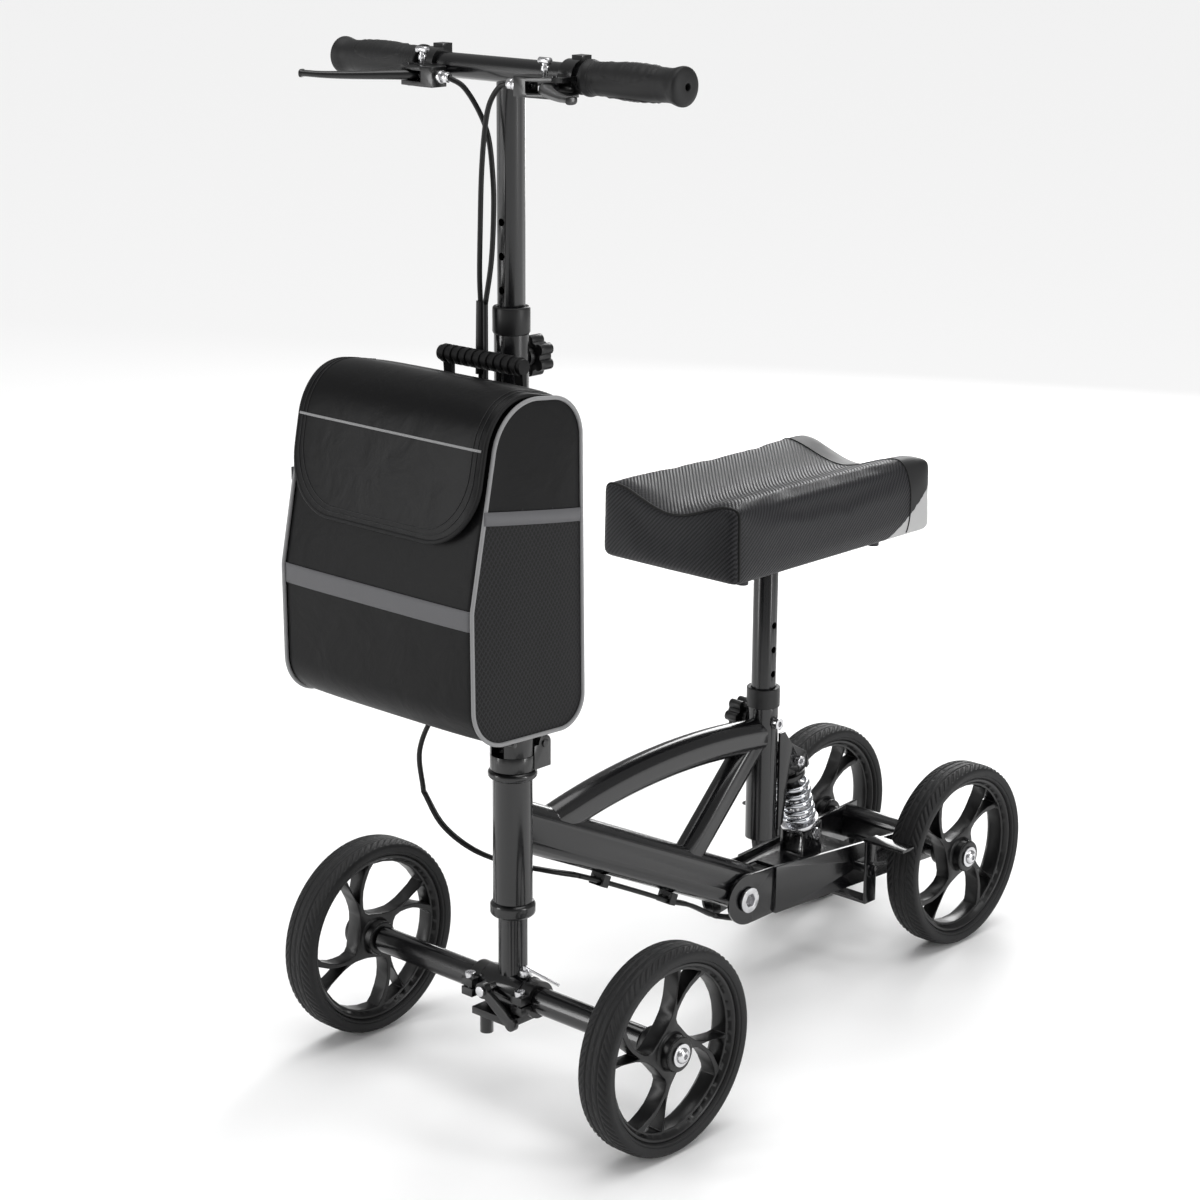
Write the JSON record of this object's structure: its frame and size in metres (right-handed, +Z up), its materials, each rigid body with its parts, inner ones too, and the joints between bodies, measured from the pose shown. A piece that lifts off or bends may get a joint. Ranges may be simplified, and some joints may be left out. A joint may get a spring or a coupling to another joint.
{
  "type": "knee scooter",
  "caption": "Steerable knee scooter with a padded knee rest, folding handlebar stem, sprung rear fork, rear brakes and a front bag.",
  "frame": {"origin": "on the floor, under the middle of the object's outline", "axes": "+X forward, +Y to the rider's left, +Z up"},
  "size_m": [0.859, 0.4468, 0.988],
  "materials": {
    "frame_paint": "gloss",
    "steel": "bright zinc",
    "moulding": "satin moulded",
    "rim_plastic": "satin moulded",
    "tyre_rubber": "matte",
    "grip_rubber": "matte",
    "cable_jacket": "gloss sheath",
    "bag_cloth": "coated polyester",
    "cushion_cover": "twill-patterned vinyl over foam"
  },
  "bodies": {
    "frame": {"head_tube": "frame_paint", "head_bearing_cups": "frame_paint", "down_tube": "frame_paint", "top_tube": "frame_paint", "brace_tube": "frame_paint", "seat_tube": "frame_paint", "seat_tube_collar": "moulding", "shock_bracket": "frame_paint", "pivot_axle": "steel", "cable_clips": "moulding", "brake_cables_lower": "cable_jacket", "frame_bolts": "steel"},
    "steerer": {"steerer_tube": "frame_paint", "fold_base": "frame_paint", "axle_tube": "frame_paint", "axle_clamps": "frame_paint", "front_axle_bolts": "steel", "axle_lock_pin": "steel"},
    "axle_lock": {"axle_lock_lever": "frame_paint"},
    "stem": {"stem_tube": "frame_paint", "fold_yoke": "frame_paint", "stem_collar": "moulding", "stem_clamp_bolt": "steel", "cable_sleeve": "moulding", "bag_body": "bag_cloth", "bag_webbing": "bag_cloth"},
    "latch": {"fold_latch": "frame_paint"},
    "stem_lock": {"stem_knob": "moulding"},
    "flap": {"bag_flap": "bag_cloth"},
    "handlebar": {"handlebar_tee": "frame_paint", "grip_left": "grip_rubber", "grip_right": "grip_rubber", "lever_bracket_left": "frame_paint", "lever_bracket_right": "frame_paint", "cable_adjusters": "steel", "brake_cables_upper": "cable_jacket"},
    "lever_left": {"brake_lever_left": "frame_paint"},
    "lever_right": {"brake_lever_right": "frame_paint"},
    "park_left": {"parking_pin_left": "steel"},
    "park_right": {"parking_pin_right": "steel"},
    "seat": {"seat_post": "frame_paint", "seat_plate": "frame_paint", "seat_bolts": "steel", "knee_cushion": "cushion_cover"},
    "seat_lock": {"seat_knob": "moulding"},
    "fork": {"swingarm": "frame_paint", "rear_beam": "frame_paint", "rear_axle_bolts": "steel"},
    "shock_upper": {"shock_body": "frame_paint"},
    "shock_lower": {"shock_rod": "steel", "shock_spring": "steel"},
    "brake": {"brake_bar": "frame_paint"},
    "front_left_wheel": {"front_left_tyre": "tyre_rubber", "front_left_rim": "rim_plastic"},
    "front_right_wheel": {"front_right_tyre": "tyre_rubber", "front_right_rim": "rim_plastic"},
    "rear_left_wheel": {"rear_left_tyre": "tyre_rubber", "rear_left_rim": "rim_plastic"},
    "rear_right_wheel": {"rear_right_tyre": "tyre_rubber", "rear_right_rim": "rim_plastic"}
  },
  "joints": [
    {"name": "steering", "type": "hinge", "parent": "frame", "child": "steerer", "pos_m": [0.2585, 0, 0.25], "axis": [0, 0, 1], "range_deg": [-45, 45], "deforming": ["brake_cables_lower"]},
    {"name": "stem_fold", "type": "hinge", "parent": "steerer", "child": "stem", "pos_m": [0.2365, 0, 0.347], "axis": [0, -1, 0], "range_deg": [0, 38], "deforming": ["brake_cables_lower"]},
    {"name": "fold_latch_turn", "type": "hinge", "parent": "stem", "child": "latch", "pos_m": [0.2745, 0, 0.353], "axis": [0, 1, 0], "range_deg": [0, 60]},
    {"name": "stem_knob_turn", "type": "hinge", "parent": "stem", "child": "stem_lock", "pos_m": [0.2585, 0, 0.715], "axis": [1, 0, 0], "continuous": true},
    {"name": "flap_open", "type": "hinge", "parent": "stem", "child": "flap", "pos_m": [0.323, 0, 0.7085], "axis": [0, -1, 0], "range_deg": [0, 75]},
    {"name": "handlebar_height", "type": "slide", "parent": "stem", "child": "handlebar", "axis": [0, 0, 1], "range_m": [-0.0915, 0.061], "deforming": ["brake_cables_upper"]},
    {"name": "left_lever_pull", "type": "hinge", "parent": "handlebar", "child": "lever_left", "pos_m": [0.2955, 0.088, 0.96], "axis": [0, 0, 1], "range_deg": [0, 22], "stiffness_Nm_per_rad": 1, "springref_deg": -2.86},
    {"name": "right_lever_pull", "type": "hinge", "parent": "handlebar", "child": "lever_right", "pos_m": [0.2955, -0.088, 0.96], "axis": [0, 0, -1], "range_deg": [0, 22], "stiffness_Nm_per_rad": 1, "springref_deg": -2.86},
    {"name": "left_parking_pin_press", "type": "slide", "parent": "handlebar", "child": "park_left", "axis": [0, 0, -1], "range_m": [0, 0.003], "stiffness_N_per_m": 600, "springref_m": -0.001},
    {"name": "right_parking_pin_press", "type": "slide", "parent": "handlebar", "child": "park_right", "axis": [0, 0, -1], "range_m": [0, 0.003], "stiffness_N_per_m": 600, "springref_m": -0.001},
    {"name": "seat_height", "type": "slide", "parent": "frame", "child": "seat", "axis": [0, 0, 1], "range_m": [-0.078, 0.026]},
    {"name": "seat_knob_turn", "type": "hinge", "parent": "frame", "child": "seat_lock", "pos_m": [-0.1115, 0, 0.282], "axis": [0, 1, 0], "continuous": true},
    {"name": "fork_swing", "type": "hinge", "parent": "frame", "child": "fork", "pos_m": [-0.0675, 0, 0.101], "axis": [0, 1, 0], "range_deg": [0, 4.5], "stiffness_Nm_per_rad": 500, "springref_deg": -3.44, "deforming": ["brake_cables_lower"]},
    {"name": "shock_tilt", "type": "hinge", "parent": "frame", "child": "shock_upper", "pos_m": [-0.1515, 0, 0.231], "axis": [0, 1, 0], "range_deg": [-2, 2]},
    {"name": "shock_stroke", "type": "slide", "parent": "shock_upper", "child": "shock_lower", "axis": [0.313, 0, 0.9498], "range_m": [-0.001, 0.0105], "deforming": ["shock_spring"]},
    {"name": "brake_bar_turn", "type": "hinge", "parent": "fork", "child": "brake", "pos_m": [-0.2255, 0, 0.1], "axis": [0, -1, 0], "range_deg": [0, 2.1], "stiffness_Nm_per_rad": 3, "springref_deg": -2.86, "deforming": ["brake_cables_lower"]},
    {"name": "axle_lever_turn", "type": "hinge", "parent": "steerer", "child": "axle_lock", "pos_m": [0.2925, -0.006, 0.106], "axis": [1, 0, 0], "range_deg": [0, 40]},
    {"name": "front_left_spin", "type": "hinge", "parent": "steerer", "child": "front_left_wheel", "pos_m": [0.2625, 0.1975, 0.1], "axis": [0, 1, 0], "continuous": true},
    {"name": "front_right_spin", "type": "hinge", "parent": "steerer", "child": "front_right_wheel", "pos_m": [0.2625, -0.1975, 0.1], "axis": [0, 1, 0], "continuous": true},
    {"name": "rear_left_spin", "type": "hinge", "parent": "fork", "child": "rear_left_wheel", "pos_m": [-0.3295, 0.094, 0.1], "axis": [0, 1, 0], "continuous": true},
    {"name": "rear_right_spin", "type": "hinge", "parent": "fork", "child": "rear_right_wheel", "pos_m": [-0.3295, -0.094, 0.1], "axis": [0, 1, 0], "continuous": true}
  ],
  "couplings": [
    {"joint": "shock_stroke", "follows": "fork_swing", "m_per_rad": 0.12013},
    {"joint": "shock_tilt", "follows": "fork_swing", "ratio": -0.1111},
    {"joint": "brake_bar_turn", "follows": "left_lever_pull", "ratio": 0.09}
  ]
}
